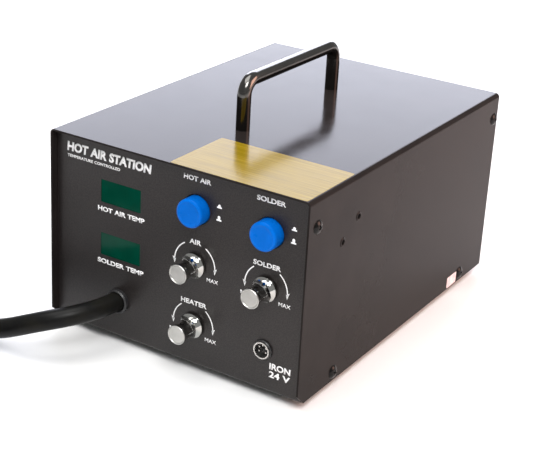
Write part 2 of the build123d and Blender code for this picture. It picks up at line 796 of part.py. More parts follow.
def fuse():
    """A glass tube fuse with two end caps."""
    x, z = INLET
    place = (REAR - 13.8, z - 10.7)
    tube = bar("X", place, around(x, 10), 2.35)
    for side in (-1, 1):
        tube += bar("X", place, sorted((x + side * 10.1, x + side * 5)), 2.6)
    return tube


# Handpiece ---------------------------------------------------------------------------------------


def handpiece_shell(side):
    """One half of the grip, split along the vertical plane through its axis."""
    whole = in_handpiece(turned([(radius, distance) for distance, radius in GRIP_OUTSIDE + GRIP_INSIDE]))
    envelope = [(radius, distance) for distance, radius in GRIP_OUTSIDE[2:]]
    envelope = in_handpiece(turned([(0, envelope[0][1]), *envelope, (0, envelope[-1][1])]))
    y, z = HANDPIECE_AXIS
    for distance in GRIP_SCREWS:
        place = (HANDPIECE_START + distance, z - GRIP_SCREW_DROP)
        whole += bar("Y", place, (y - 20, y + 20), 3.2) & envelope
        whole -= bar("Y", place, (y - GRIP_SCREW_SEAT, y + 9), 1.5)
        whole -= bar("Y", place, (y - 25, y - GRIP_SCREW_SEAT), 3.1)
    near = sorted((y, y + side * 30))
    span = (HANDPIECE_START, HANDPIECE_START + 200)
    return whole & slab(span, near, (z - 30, z + 30))


def handpiece_boot():
    """The rubber sleeve where the hose enters the grip, ribbed and held by its inner flange."""
    bore = HOSE_DIAMETER / 2 + 0.1
    outline = [(bore, 0), (8.0, 0), (8.4, 1.2)]
    for k in range(4):
        start = 3.2 + 4 * k
        wide = 8.9 + 0.6 * k
        outline += [(wide, start), (wide + 0.3, start + 2.2)]
        outline += [(wide - 0.5, start + 2.6), (wide - 0.4, start + 3.6)]
    outline += [(11.2, 19.8), (8.9, 19.8), (8.9, 22.8), (12.7, 22.8), (12.7, 24.8), (bore, 24.8)]
    return in_handpiece(turned(outline))


def handpiece_barrel():
    """The steel tube in front of the grip, with a collar inside it and a ring of cooling slots."""
    start, end = BARREL_SPAN
    inner = BARREL_RADIUS - BARREL_WALL
    barrel = turned(
        [
            (inner, start),
            (13.1, start),
            (13.1, start + 1.4),
            (BARREL_RADIUS, start + 1.4),
            (BARREL_RADIUS, end),
            (inner, end),
        ]
    )
    slot = Pos(BARREL_RADIUS, 0, 134) * Box(4, 2.4, 8)
    return in_handpiece(barrel - [Rot(0, 0, 45 * k) * slot for k in range(8)])


def heater_core():
    """The ceramic former of the heating element, pierced lengthwise."""
    core = Pos(0, 0, 145) * Cylinder(10.2, 44)
    for k in range(6):
        core -= Rot(0, 0, 60 * k) * Pos(6.2, 0, 145) * Cylinder(2.2, 46)
    return in_handpiece(core)


def nozzle():
    """The slip-on nozzle: split sleeve, cone and outlet, with two ears for the clamp screw."""
    inner = BARREL_RADIUS + RUNNING
    outer = inner + 0.8
    outline = [
        (inner, NOZZLE_START),
        (outer, NOZZLE_START),
        (outer, NOZZLE_SHOULDER),
        (NOZZLE_OUTLET + 0.8, NOZZLE_TIP),
        (NOZZLE_OUTLET + 0.8, NOZZLE_END),
        (NOZZLE_OUTLET, NOZZLE_END),
        (NOZZLE_OUTLET, NOZZLE_TIP - 0.6),
        (inner, NOZZLE_SHOULDER - 0.6),
    ]
    body = in_handpiece(turned(outline))
    y, z = HANDPIECE_AXIS
    x = HANDPIECE_START + CLAMP_AT
    for side in (-1, 1):
        ear = slab(around(x, 5.5), sorted((y + side * 0.7, y + side * 2.6)), (z + inner + 0.1, z + 20))
        body += fillet(ear.edges().filter_by(Axis.Y).group_by(Axis.Z)[-1], 4)
    body -= slab((x - 9, x + 6.5), around(y, 0.7), (z + 8, z + 22))
    return body - bar("Y", (x, z + CLAMP_RISE), (y - 5, y + 5), 1.5 + RUNNING)


def nozzle_clamp_screw():
    y, z = HANDPIECE_AXIS
    screw = pan_screw(2.9, 2.2, 1.5, 9.6)
    return Location((HANDPIECE_START + CLAMP_AT, y - 2.9, z + CLAMP_RISE), (90, 0, 0)) * screw


# All pieces --------------------------------------------------------------------------------------


def all_parts():
    """Every piece by its node's name."""
    made = [
        base_pan,
        front_panel,
        rear_panel,
        top_cover,
        carry_handle,
        handle_screws,
        cover_screws,
        rubber_feet,
        feet_screws,
        display_windows,
        display_modules,
        display_board,
        board_standoffs,
        panel_nuts,
        iron_socket_shell,
        iron_socket_collar,
        iron_socket_insert,
        iron_socket_contacts,
        hose_bushing,
        hose_union,
        air_hose,
        air_hose_coil,
        transformer_core,
        transformer_winding,
        transformer_bracket,
        m3_screws,
        main_board,
        board_components,
        triac_heatsink,
        pump_housing,
        pump_diaphragm,
        pump_armature,
        pump_electromagnet,
        pump_mounts,
        inner_air_tube,
        wire_harness,
        mains_inlet,
        inlet_pins,
        fuse_drawer,
        fuse,
        handpiece_boot,
        handpiece_barrel,
        heater_core,
        nozzle,
        nozzle_clamp_screw,
    ]
    parts = {function.__name__: function() for function in made}
    for name, place in BUTTONS.items():
        parts[f"{name}_button"] = push_button(place)
        parts[f"{name}_switch"] = push_switch(place)
    for name, place in KNOBS.items():
        parts[f"{name}_potentiometer"] = potentiometer(place)
        parts[f"{name}_knob_shaft"] = knob_shaft(place)
        parts[f"{name}_knob"] = knob(place)
    parts["handpiece_shell_left"] = handpiece_shell(1)
    parts["handpiece_shell_right"] = handpiece_shell(-1)
    return parts


def write_parts():
    os.makedirs("parts", exist_ok=True)
    for name, shape in all_parts().items():
        pieces = shape if isinstance(shape, list) else [shape]
        solids = [solid for piece in pieces for solid in piece.solids()]
        export_step(Compound(solids), f"parts/{name}.step")


write_parts()
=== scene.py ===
"""Looks of the hot air station: camera, hose, light, materials and the detailed pieces.

Sizes are in millimetres in the part's frame (+Z up, the front panel faces -Y), and at() and
mesh_piece() turn them into metres. Lights, the only exception, are placed in metres.
"""

import json
import math
import random

import bmesh
import bpy
from mathutils import Matrix, Vector

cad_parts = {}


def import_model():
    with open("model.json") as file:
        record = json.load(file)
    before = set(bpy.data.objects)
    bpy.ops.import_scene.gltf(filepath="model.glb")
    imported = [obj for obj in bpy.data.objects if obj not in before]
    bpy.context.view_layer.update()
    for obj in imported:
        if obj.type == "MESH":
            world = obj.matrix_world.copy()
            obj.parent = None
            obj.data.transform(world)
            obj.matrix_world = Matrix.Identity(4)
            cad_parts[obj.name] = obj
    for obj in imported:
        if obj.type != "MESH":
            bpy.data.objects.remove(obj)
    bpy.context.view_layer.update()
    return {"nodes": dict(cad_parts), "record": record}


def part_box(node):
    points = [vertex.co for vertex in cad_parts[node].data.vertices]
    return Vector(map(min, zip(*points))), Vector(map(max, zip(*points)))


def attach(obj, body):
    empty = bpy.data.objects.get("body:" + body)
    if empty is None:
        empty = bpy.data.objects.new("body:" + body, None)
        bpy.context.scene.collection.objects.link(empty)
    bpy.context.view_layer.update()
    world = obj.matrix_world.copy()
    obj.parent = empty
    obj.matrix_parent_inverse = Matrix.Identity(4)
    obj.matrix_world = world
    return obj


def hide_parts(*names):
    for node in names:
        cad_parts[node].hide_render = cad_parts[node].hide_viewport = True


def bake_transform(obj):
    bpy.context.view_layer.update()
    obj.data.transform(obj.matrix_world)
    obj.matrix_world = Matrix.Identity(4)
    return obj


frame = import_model()
NODES = frame["nodes"]

MM = 0.001


def at(x, y, z):
    """A place in millimetres as a vector in metres."""
    return Vector((x, y, z)) * MM


def span(node):
    """The lowest and highest corner of a CAD node, in millimetres."""
    low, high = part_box(node)
    return low / MM, high / MM


def centre(node):
    """The middle of a CAD node's box, in millimetres."""
    low, high = span(node)
    return (low + high) / 2


COVER_HIGH = span("top_cover")[1]
PANEL = span("front_panel")[0].y
# The words printed over the knobs and the buttons
KNOBS = {"air": "AIR", "heater": "HEATER", "iron": "SOLDER"}
BUTTONS = {"hot_air": "HOT AIR", "iron": "SOLDER"}

# Camera and hose ---------------------------------------------------------------------------------

# The camera fitted to the photograph, with its yaw from +Y and its pitch below the horizon
CAMERA_PLACE = at(437.0, -736.3, 424.2)
CAMERA_YAW = math.radians(-31.66)
CAMERA_PITCH = math.radians(22.51)
CAMERA_ROLL = math.radians(3.09)
LENS = 90.24
SHIFT = (0.02436, -0.0436)

# The hose: diameter and route points in millimetres
HOSE_DIAMETER = 12.5
# The coil: control points at even angles, with their radius and height in tables of (angle, value)
COIL_CENTRE = (-159.0, -245.0)
COIL_STEP = 22.5
COIL_STEPS = 40
COIL_RADII = [(270, 68.75), (360, 56.25), (615, 56.25), (720, 62.5)]
COIL_HEIGHTS = [(600, 6.25), (645, 7.5), (690, 12.5), (705, 12.5), (735, 17.2)]
HOSE_ROUTE = [
    (-43.0, -112.0, 30.5),
    (-43.0, -132.0, 30.5),
    (-50.8, -153.8, 30.4),
    (-68.3, -169.0, 26.2),
    (-96.5, -175.3, 14.0),
    (-128.0, -176.2, 6.5),
]
TAIL_ROUTE = [
    (-137.0, -307.5, 19.2),
    (-114.0, -307.5, 19.5),
    (-99.0, -307.5, 17.0),
    (-75.0, -307.5, 17.02),
]


def camera():
    """The photograph's view."""
    sin_yaw, cos_yaw = math.sin(CAMERA_YAW), math.cos(CAMERA_YAW)
    sin_pitch, cos_pitch = math.sin(CAMERA_PITCH), math.cos(CAMERA_PITCH)
    forward = Vector((sin_yaw * cos_pitch, cos_yaw * cos_pitch, -sin_pitch))
    right = Vector((cos_yaw, -sin_yaw, 0))
    up = right.cross(forward)
    roll = Matrix.Rotation(CAMERA_ROLL, 3, "Z")
    turn = Matrix((right, up, -forward)).transposed() @ roll
    data = bpy.data.cameras.new("photo_camera")
    data.lens = LENS
    data.shift_x, data.shift_y = SHIFT
    data.clip_start = 0.05
    made = bpy.data.objects.new("photo_camera", data)
    made.matrix_world = Matrix.Translation(CAMERA_PLACE) @ turn.to_4x4()
    bpy.context.scene.collection.objects.link(made)
    bpy.context.scene.camera = made


def along(table, angle):
    """The value of a table of (angle, value) at an angle, smooth between its entries."""
    before = table[0]
    for entry in table:
        if angle <= entry[0]:
            share = (angle - before[0]) / max(entry[0] - before[0], 1)
            share = share * share * (3 - 2 * share)
            return before[1] + (entry[1] - before[1]) * share
        before = entry
    return table[-1][1]


def coil_points():
    """Control points of two turns and a half: one turn inside the other, then a half on both."""
    points = []
    for k in range(COIL_STEPS):
        turned_by = COIL_STEP * (k + 0.5)
        angle = math.radians(90 + turned_by)
        radius = along(COIL_RADII, turned_by) / math.cos(math.radians(COIL_STEP / 2))
        x = COIL_CENTRE[0] + radius * math.cos(angle)
        y = COIL_CENTRE[1] + radius * math.sin(angle)
        points.append((x, y, along(COIL_HEIGHTS, turned_by)))
    return points


def hose():
    """The air hose, one smooth curve from the bushing by the coil into the handpiece's boot."""
    route = HOSE_ROUTE + coil_points() + TAIL_ROUTE
    data = bpy.data.curves.new("hose", "CURVE")
    data.dimensions = "3D"
    spline = data.splines.new("NURBS")
    spline.points.add(len(route) - 1)
    for point, place in zip(spline.points, route):
        point.co = (*at(*place), 1)
        point.radius = HOSE_DIAMETER / 2 * MM
    spline.order_u = 3
    spline.use_endpoint_u = True
    spline.resolution_u = 12
    data.bevel_depth = 1.0
    data.bevel_resolution = 8
    data.use_fill_caps = True
    made = bpy.data.objects.new("hose", data)
    bpy.context.scene.collection.objects.link(made)
    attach(made, "root")
    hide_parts("air_hose", "air_hose_coil")
    return made


camera()
HOSE = hose()

# Materials ---------------------------------------------------------------------------------------


class Material:
    """A principled material in object coordinates, with helpers that add noise to its inputs."""

    def __init__(self, name, colour, roughness, metallic=0.0):
        self.made = bpy.data.materials.new(name)
        self.made.use_nodes = True
        self.tree = self.made.node_tree
        self.shader = self.tree.nodes["Principled BSDF"]
        self.shader.inputs["Base Color"].default_value = (*colour, 1)
        self.shader.inputs["Roughness"].default_value = roughness
        self.shader.inputs["Metallic"].default_value = metallic
        self.coordinates = self.tree.nodes.new("ShaderNodeTexCoord").outputs["Object"]
        self.height = None

    def set(self, **values):
        """Constants on the shader's own sockets, by their names with underscores."""
        for key, value in values.items():
            self.shader.inputs[key.replace("_", " ")].default_value = value
        return self

    def link(self, source, target):
        """Joins an output socket to an input socket."""
        self.tree.links.new(source, target)

    def noise(self, size, detail=4.0, stretch=(1, 1, 1), roughness=0.55):
        """Noise whose blobs are about size millimetres, longer along an axis by its stretch."""
        mapping = self.tree.nodes.new("ShaderNodeMapping")
        mapping.inputs["Scale"].default_value = [1 / factor for factor in stretch]
        self.link(self.coordinates, mapping.inputs["Vector"])
        noise = self.tree.nodes.new("ShaderNodeTexNoise")
        noise.inputs["Scale"].default_value = 1000.0 / size
        noise.inputs["Detail"].default_value = detail
        noise.inputs["Roughness"].default_value = roughness
        self.link(mapping.outputs["Vector"], noise.inputs["Vector"])
        return noise.outputs["Fac"]

    def spread(self, source, low, high, start=0.3, end=0.7):
        """A factor mapped to a range of values."""
        made = self.tree.nodes.new("ShaderNodeMapRange")
        made.inputs["From Min"].default_value = start
        made.inputs["From Max"].default_value = end
        made.inputs["To Min"].default_value = low
        made.inputs["To Max"].default_value = high
        self.link(source, made.inputs["Value"])
        return made.outputs["Result"]

    def ramp(self, source, stops):
        """A factor mapped to colours at (position, colour) stops."""
        made = self.tree.nodes.new("ShaderNodeValToRGB")
        elements = made.color_ramp.elements
        while len(elements) < len(stops):
            elements.new(0.5)
        for element, (position, colour) in zip(elements, stops):
            element.position = position
            element.color = (*colour, 1)
        self.link(source, made.inputs["Fac"])
        return made.outputs["Color"]

    def colour(self, source, *stops):
        """Base colour from a factor, by (position, colour) stops."""
        self.link(self.ramp(source, stops), self.shader.inputs["Base Color"])
        return self

    def gloss(self, source, low, high):
        """Roughness from a factor, between a low and a high value."""
        self.link(self.spread(source, low, high), self.shader.inputs["Roughness"])
        return self

    def bump(self, source, depth, strength=1.0):
        """Relief of a depth in millimetres, on top of the relief added before."""
        made = self.tree.nodes.new("ShaderNodeBump")
        made.inputs["Distance"].default_value = depth * MM
        made.inputs["Strength"].default_value = strength
        self.link(source, made.inputs["Height"])
        if self.height:
            self.link(self.height, made.inputs["Normal"])
        self.height = made.outputs["Normal"]
        self.link(self.height, self.shader.inputs["Normal"])
        return self


def grey(value):
    return (value, value, value)


def tinted(colour, factor):
    return tuple(channel * factor for channel in colour)


def moulded(name, colour, roughness, size=1.2, depth=0.01, change=0.15):
    """Plastic or rubber with a fine moulded texture, slightly uneven in colour and gloss."""
    made = Material(name, colour, roughness)
    dark, pale = tinted(colour, 1 - change), tinted(colour, 1 + change)
    made.colour(made.noise(9), (0.35, dark), (0.65, pale))
    made.gloss(made.noise(5), roughness * 0.85, roughness * 1.15)
    made.bump(made.noise(size), depth)
    return made


def metal(name, colour, roughness, stretch=(1, 1, 1), size=0.6, depth=0.004, change=0.12):
    """Metal with fine drawn or blasted marks and faint stains."""
    made = Material(name, colour, roughness, 1.0)
    made.colour(made.noise(14), (0.3, tinted(colour, 1 - change)), (0.7, colour))
    made.gloss(made.noise(size * 4, stretch=stretch), roughness * 0.75, roughness * 1.3)
    made.bump(made.noise(size, stretch=stretch), depth)
    return made


def cover_paint():
    """Smooth black stove enamel with faint orange peel."""
    made = Material("cover_paint", (0.017, 0.014, 0.013), 0.13)
    made.colour(made.noise(30, 3), (0.3, (0.014, 0.0115, 0.011)), (0.7, (0.019, 0.0155, 0.0145)))
    made.gloss(made.noise(22, 3), 0.11, 0.17)
    made.bump(made.noise(2.4, 2), 0.010)
    made.bump(made.noise(0.8, 2), 0.003)
    return made.set(Specular_IOR_Level=0.05)


def panel_paint():
    """Satin black powder coat with a fine speckle."""
    made = Material("panel_paint", (0.012, 0.010, 0.010), 0.36)
    made.set(Specular_IOR_Level=0.4)
    made.colour(made.noise(0.8, 2), (0.4, (0.009, 0.007, 0.007)), (0.62, (0.022, 0.018, 0.017)))
    made.gloss(made.noise(6), 0.33, 0.42)
    made.bump(made.noise(0.6, 3), 0.012)
    return made


def chrome():
    """Polished chrome, with the knobs' faces turned matt by fine rings."""
    made = Material("chrome", (0.48, 0.48, 0.46), 0.07, 1.0)
    made.colour(made.noise(7), (0.3, (0.44, 0.44, 0.42)), (0.7, (0.52, 0.52, 0.50)))
    separate = made.tree.nodes.new("ShaderNodeSeparateXYZ")
    made.link(made.coordinates, separate.inputs["Vector"])
    face_depth, face_fade = 0.6, 0.1
    face = (span("air_knob")[0].y + face_depth) * MM
    matt = made.spread(separate.outputs["Y"], 0.36, 0.07, face, face + face_fade * MM)
    made.link(matt, made.shader.inputs["Roughness"])
    made.bump(made.noise(0.35, 2), 0.0012)
    return made


def handle_black():
    """Black chrome on the handle, with faint runs along it."""
    made = Material("handle_black", (0.10, 0.098, 0.092), 0.14, 1.0)
    runs = made.noise(3, stretch=(1, 8, 8))
    made.colour(runs, (0.3, (0.09, 0.088, 0.085)), (0.7, (0.13, 0.124, 0.115)))
    made.gloss(made.noise(8), 0.11, 0.20)
    made.bump(made.noise(1.6, 2), 0.003)
    return made


def hose_rubber():
    """Satin black rubber with extrusion marks and a little dust."""
    made = moulded("hose_rubber", (0.007, 0.007, 0.006), 0.36, 1.6, 0.012)
    made.colour(made.noise(16, 6), (0.42, (0.006, 0.006, 0.006)), (0.75, (0.012, 0.011, 0.008)))
    made.set(Specular_IOR_Level=0.12)
    return made


def black_screw():
    """Glossy black oxide on the cover screws and the knobs' grub screws."""
    made = moulded("black_screw", grey(0.005), 0.14, 0.8, 0.003)
    return made.set(Specular_IOR_Level=0.18)


def black_rubber():
    """Dull black rubber of the feet and soft fittings."""
    made = moulded("black_rubber", grey(0.006), 0.6, 1.0, 0.02)
    return made.set(Specular_IOR_Level=0.12)


def blue_plastic():
    """Satin blue of the push buttons."""
    made = moulded("blue_plastic", (0.0, 0.125, 0.55), 0.3, 1.5, 0.003, 0.06)
    return made.set(Specular_IOR_Level=0.08)


def display_green():
    """Dark green tinted filter pane."""
    made = Material("display_green", (0.0, 0.043, 0.025), 0.10)
    made.colour(made.noise(12, 2), (0.3, (0.0, 0.038, 0.022)), (0.7, (0.0, 0.048, 0.028)))
    made.gloss(made.noise(5), 0.08, 0.14)
    made.bump(made.noise(3, 2), 0.001)
    made.set(Specular_IOR_Level=0.1)
    return made


def circuit_board():
    """Green solder mask over faint copper tracks."""
    made = Material("circuit_board", (0.01, 0.09, 0.03), 0.3)
    tracks = made.noise(4, 0, stretch=(6, 1, 1))
    mask, track = (0.006, 0.07, 0.022), (0.02, 0.16, 0.05)
    made.colour(tracks, (0.47, mask), (0.5, track), (0.53, mask))
    made.bump(tracks, 0.03)
    return made


def glass():
    """Clear glass of the fuse."""
    made = Material("glass", (0.85, 0.88, 0.88), 0.05)
    made.gloss(made.noise(4), 0.03, 0.09)
    made.set(Transmission_Weight=0.85, IOR=1.5)
    return made


def clear_tube():
    """Cloudy clear vinyl."""
    made = Material("clear_tube", (0.75, 0.76, 0.72), 0.25)
    made.colour(made.noise(12), (0.3, (0.62, 0.62, 0.56)), (0.7, (0.78, 0.79, 0.74)))
    made.gloss(made.noise(4), 0.2, 0.32)
    made.set(Transmission_Weight=0.6)
    return made


MATERIALS = {
    "chassis_steel": metal("chassis_steel", (0.40, 0.40, 0.39), 0.38, (1, 12, 1)),
    "panel_paint": panel_paint(),
    "cover_paint": cover_paint(),
    "handle_black": handle_black(),
    "black_screw": black_screw(),
    "zinc_screw": metal("zinc_screw", (0.70, 0.70, 0.66), 0.28),
    "black_rubber": black_rubber(),
    "display_green": display_green(),
    "dark_plastic": moulded("dark_plastic", (0.018, 0.018, 0.019), 0.38, 0.7, 0.012),
    "circuit_board": circuit_board(),
    "white_plastic": moulded("white_plastic", (0.72, 0.70, 0.64), 0.42),
    "blue_plastic": blue_plastic(),
    "steel": metal("steel", (0.58, 0.57, 0.55), 0.3, (1, 6, 1)),
    "chrome": chrome(),
    "hose_rubber": hose_rubber(),
    "clear_tube": clear_tube(),
    "core_iron": metal("core_iron", (0.24, 0.23, 0.22), 0.45, (30, 1, 1), 0.5, 0.03),
    "winding": metal("winding", (0.70, 0.34, 0.12), 0.3, (30, 30, 1), 0.5, 0.08),
    "aluminium": metal("aluminium", (0.74, 0.75, 0.76), 0.32, (1, 1, 10)),
    "glass": glass(),
    "grip_plastic": moulded("grip_plastic", (0.014, 0.014, 0.016), 0.44, 0.8, 0.03),
    "stainless": metal("stainless", (0.62, 0.60, 0.57), 0.24, (10, 1, 1)),
    "ceramic": moulded("ceramic", (0.78, 0.74, 0.66), 0.6, 0.9, 0.02),
}


def dress_nodes():
    """Gives every CAD node the material of its slot in the record."""
    for made in NODES.values():
        for place in made.material_slots:
            place.material = MATERIALS[place.material.name.split(".")[0]].made


dress_nodes()
HOSE.data.materials.append(MATERIALS["hose_rubber"].made)

# Pieces on the case ------------------------------------------------------------------------------

# Print on the panel: its rise, heights of the words and signs over the buttons, places from a
# knob's centre, and the arc round a knob as (radius, half thickness, end angle)
INK_RISE = 0.06
FONT_STRETCH = 1.22
WORD_SPACE = 1.2
BUTTON_WORD_Z = 127.2
BUTTON_SIGN_X = 16.1
BUTTON_SIGN_Z = {True: 113.9, False: 105.9}
KNOB_WORD_UP = 14.9
KNOB_LIMIT = (13.2, -7.0)
ARC = (14.7, 0.36, -3.0)
ARC_STARTS = {"air": 59.0, "heater": 53.0, "iron": 53.0}

# Stickers
LABEL_X = (-3.0, 90.9)
LABEL_Y = (-127.2, -73.0)
LABEL_RISE = 0.12
SEAL_Y = (72.0, 86.5)
SEAL_Z = (5.8, 13.8)
SEAL_RISE = 0.1

# Screws: the cover screws' head as (radius, height) and shank as (radius, length), and the grub
# screws' base as (distance in front of the panel, height over the knob's axis)
SCREW_HEAD = (4.5, 2.0)
SCREW_SHANK = (1.6, 6.0)
SCREW_TURN_START, SCREW_TURN_STEP = 20, 47
GRUB_SCREW = (11.4, 2.5)

# Profiles of turned pieces as (radius, height)
HOLE_RIM = [(1.75, 0), (1.75, 0.35), (2.0, 0.5), (2.4, 0.42), (3.0, 0.1), (3.1, 0), (1.75, 0)]
GRUB_OUTSIDE = [(0, 0), (1.35, 0), (1.35, 2.0), (1.15, 2.2)]
GRUB_SOCKET = [(0.8, 2.2), (0.75, 2.1), (0.75, 1.0), (0, 0.9)]
DIAPHRAGM_MIDDLE = [(0, 5.0), (4, 5.0), (9.4, 5.0)]
DIAPHRAGM_ROLL = [
    (10.1, 4.7),
    (10.8, 4.0),
    (11.6, 3.1),
    (12.5, 2.4),
    (13.5, 2.1),
    (14.2, 2.2),
    (14.8, 1.9),
]
DIAPHRAGM_RIM = [(15.4, 1.6), (17.0, 1.6), (17.0, 0), (0, 0)]


def mesh_piece(name, mesh, material, body="root", stands_for=()):
    """Puts a finished mesh, in millimetres in the part's frame, into the scene as a piece."""
    mesh.transform(Matrix.Scale(MM, 4))
    mesh.materials.append(material.made)
    made = bpy.data.objects.new(name, mesh)
    bpy.context.scene.collection.objects.link(made)
    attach(made, body)
    if stands_for:
        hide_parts(*stands_for)
    return made


def on_front(x, z):
    """Turns local X, Y, Z into the panel's right, up and outwards."""
    return Matrix.Translation((x, PANEL, z)) @ Matrix.Rotation(math.radians(90), 4, "X")


def on_side(side, y, z):
    """Local Z points out of the right (1) or left (-1) wall, and local Y is up."""
    turn = Matrix.Rotation(math.radians(90), 4, "Z") @ Matrix.Rotation(math.radians(90), 4, "X")
    if side < 0:
        turn = Matrix.Rotation(math.radians(180), 4, "Z") @ turn
    return Matrix.Translation((side * COVER_HIGH.x, y, z)) @ turn


def joined(name, meshes):
    """One mesh from several, which are used up."""
    form = bmesh.new()
    for mesh in meshes:
        form.from_mesh(mesh)
        bpy.data.meshes.remove(mesh)
    made = bpy.data.meshes.new(name)
    form.to_mesh(made)
    form.free()
    return made


def raise_faces(form, faces, rise):
    """Extrudes faces of a mesh being edited upwards; the faces themselves stay as the underside."""
    raised = bmesh.ops.extrude_face_region(form, geom=faces)["geom"]
    corners = [item for item in raised if isinstance(item, bmesh.types.BMVert)]
    bmesh.ops.translate(form, verts=corners, vec=(0, 0, rise))


def plate(outline, thickness):
    """A flat plate from a closed outline of (x, y) points, from 0 up to its thickness."""
    form = bmesh.new()
    face = form.faces.new([form.verts.new((x, y, 0)) for x, y in outline])
    raise_faces(form, [face], thickness)
    bmesh.ops.recalc_face_normals(form, faces=form.faces)
    made = bpy.data.meshes.new("plate")
    form.to_mesh(made)
    form.free()
    return made


def lettering(text, place, height, width=None, weight=0.03, slant=0.0):
    """Raised capitals centred on (x, z) of the panel, of a given width or the stretched font's."""
    data = bpy.data.curves.new("text", "FONT")
    data.body = text
    data.align_x = "CENTER"
    data.offset = weight
    data.space_word = WORD_SPACE
    data.shear = slant
    data.resolution_u = 4
    source = bpy.data.objects.new("text", data)
    bpy.context.scene.collection.objects.link(source)
    bpy.context.view_layer.update()
    evaluated = source.evaluated_get(bpy.context.evaluated_depsgraph_get())
    mesh = bpy.data.meshes.new_from_object(evaluated)
    bpy.data.objects.remove(source)
    bpy.data.curves.remove(data)
    xs = [v.co.x for v in mesh.vertices]
    ys = [v.co.y for v in mesh.vertices]
    tall = height / (max(ys) - min(ys))
    wide = width / (max(xs) - min(xs)) if width else FONT_STRETCH * tall
    middle = Vector(((max(xs) + min(xs)) / 2, (max(ys) + min(ys)) / 2, 0))
    mesh.transform(Matrix.Diagonal((wide, tall, 1, 1)) @ Matrix.Translation(-middle))
    form = bmesh.new()
    form.from_mesh(mesh)
    raise_faces(form, form.faces[:], INK_RISE)
    form.to_mesh(mesh)
    form.free()
    mesh.transform(on_front(*place))
    return mesh


def scale_arc(place, start, side):
    """A thin arc on a knob's right (1) or left (-1), from a start angle down to its arrowhead."""
    radius, half, end = ARC
    steps = 16
    angles = [math.radians(start + (end - start) * k / steps) for k in range(steps + 1)]
    outer = [((radius + half) * math.cos(a), (radius + half) * math.sin(a)) for a in angles]
    inner = [((radius - half) * math.cos(a), (radius - half) * math.sin(a)) for a in angles]
    head = [(radius - 0.9, 0.2), (radius + 1.4, 1.6), (radius - 0.1, -2.6)]
    shapes = [plate(outer + inner[::-1], INK_RISE), plate(head, INK_RISE)]
    for shape in shapes:
        shape.transform(on_front(*place) @ Matrix.Diagonal((side, 1, 1, 1)))
    return shapes


def switch_sign(place, pressed):
    """The sign for a button's position: a small cap over its base bar, lower when it is pressed."""
    top = 1.6 if pressed else 2.4
    cap = [(-0.9, 0.1), (0.9, 0.1), (0.9, top - 0.6), (0.4, top), (-0.4, top), (-0.9, top - 0.6)]
    base = [(-1.7, -0.8), (1.7, -0.8), (1.7, 0.1), (-1.7, 0.1)]
    shapes = [plate(cap, INK_RISE), plate(base, INK_RISE)]
    for shape in shapes:
        shape.transform(on_front(*place))
    return shapes


def panel_print():
    """Everything printed in white on the front panel."""
    ink = Material("white_ink", (0.90, 0.90, 0.89), 0.45)
    ink.colour(ink.noise(1.5, 3), (0.3, grey(0.84)), (0.6, grey(0.94)))
    ink.bump(ink.noise(0.4), 0.004)
    shapes = [
        lettering("HOT AIR STATION", (-51.8, 124.6), 6.2, 65.0, 0.045, 0.1),
        lettering("TEMPERATURE CONTROLLED", (-63.4, 118.6), 1.9, 41.0, 0.02),
        lettering("HOT AIR TEMP", (-41.8, 89.7), 3.2, 36.0, 0.036),
        lettering("SOLDER TEMP", (-41.8, 54.5), 3.2, 36.0, 0.036),
        lettering("IRON", (77.3, 23.0), 4.2, 14.6, 0.035),
        lettering("24 V", (77.3, 17.6), 4.2, 14.6, 0.035),
    ]
    for name, word in BUTTONS.items():
        place = centre(f"{name}_button")
        shapes.append(lettering(word, (place.x, BUTTON_WORD_Z), 3.2, 19.6, 0.036))
        for pressed, height in BUTTON_SIGN_Z.items():
            shapes += switch_sign((place.x + BUTTON_SIGN_X, height), pressed)
    for name, word in KNOBS.items():
        place = centre(f"{name}_knob")
        shapes.append(lettering(word, (place.x, place.z + KNOB_WORD_UP), 3.2))
        for side, mark in ((1, "MAX"), (-1, "MIN")):
            shapes += scale_arc((place.x, place.z), ARC_STARTS[name], side)
            spot = (place.x + KNOB_LIMIT[0] * side, place.z + KNOB_LIMIT[1])
            shapes.append(lettering(mark, spot, 2.4, 8.2, 0.012))
    mesh_piece("panel_print", joined("panel_print", shapes), ink)


def film(across, up, thickness, corner=1.2, cells=28, ripple=0.02):
    """A thin closed sticker with rounded corners, whose top is a grid that ripples a little."""
    width, height = across[1] - across[0], up[1] - up[0]
    form = bmesh.new()
    rows = max(6, int(cells * height / width))
    bmesh.ops.create_grid(form, x_segments=cells, y_segments=rows, size=0.5)
    random.seed(7)
    phase = random.random()
    middle_x, middle_y = (across[0] + across[1]) / 2, (up[0] + up[1]) / 2
    for vertex in form.verts:
        x, y = vertex.co.x * width, vertex.co.y * height
        far_x, far_y = abs(x) - (width / 2 - corner), abs(y) - (height / 2 - corner)
        if far_x > 0 and far_y > 0:
            reach = max(far_x, far_y) / max(math.hypot(far_x, far_y), 1e-6)
            x = math.copysign(width / 2 - corner + far_x * reach, x)
            y = math.copysign(height / 2 - corner + far_y * reach, y)
        wave = math.sin(x * 0.31 + phase) * math.sin(y * 0.43 + 2 * phase)
        vertex.co = (middle_x + x, middle_y + y, thickness + ripple * wave)
    edges = [edge for edge in form.edges if edge.is_boundary]
    skirt = bmesh.ops.extrude_edge_only(form, edges=edges)["geom"]
    for vertex in skirt:
        if isinstance(vertex, bmesh.types.BMVert):
            vertex.co.z = 0
    bmesh.ops.holes_fill(form, edges=[edge for edge in form.edges if edge.is_boundary])
    bmesh.ops.recalc_face_normals(form, faces=form.faces)
    for face in form.faces:
        face.smooth = True
    mesh = bpy.data.meshes.new("film")
    form.to_mesh(mesh)
    form.free()
    mesh.set_sharp_from_angle(angle=math.radians(40))
    return mesh


